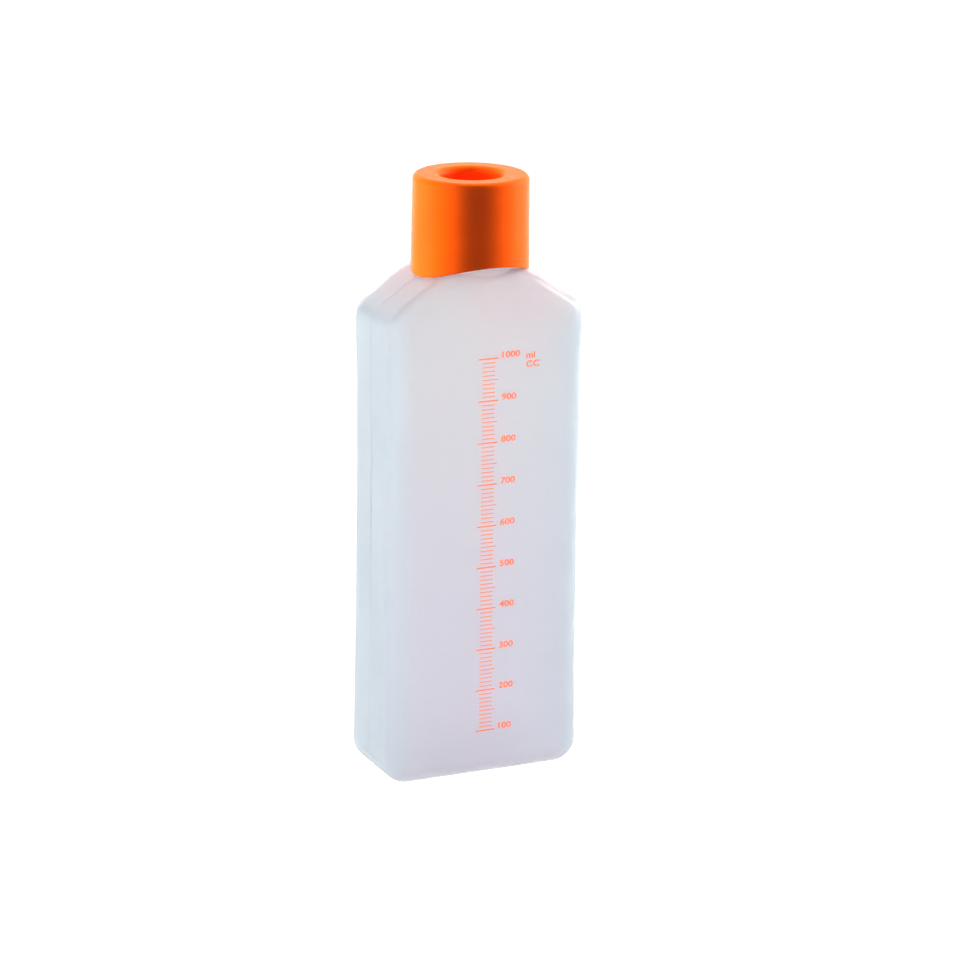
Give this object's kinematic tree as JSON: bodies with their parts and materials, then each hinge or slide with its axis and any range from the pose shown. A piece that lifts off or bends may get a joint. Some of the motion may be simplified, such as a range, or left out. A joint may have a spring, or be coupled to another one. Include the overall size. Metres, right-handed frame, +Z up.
{
  "type": "urine bottle",
  "caption": "Flat translucent urine bottle with a domed shoulder, a printed millilitre scale on its front and a wide neck under a tall round push-on cap with a well in its top.",
  "frame": {"origin": "middle of the bottle's footprint, on the surface it stands on", "axes": "+Z up along the neck, +X across the wide faces, +Y from the printed front face towards the back"},
  "size_m": [0.1012, 0.0558, 0.2914],
  "materials": {
    "bottle_plastic": "translucent, satin, blow-moulded polyethylene",
    "cap_plastic": "opaque, semi-gloss, injection-moulded",
    "seal_rubber": "soft, matt"
  },
  "bodies": {
    "bottle": {"bottle": "bottle_plastic"},
    "cap": {"cap": "cap_plastic", "seal_ring": "seal_rubber"}
  },
  "joints": [
    {"name": "cap_lift", "type": "slide", "parent": "bottle", "child": "cap", "axis": [0, 0, 1], "range_m": [0, 0.06]}
  ]
}
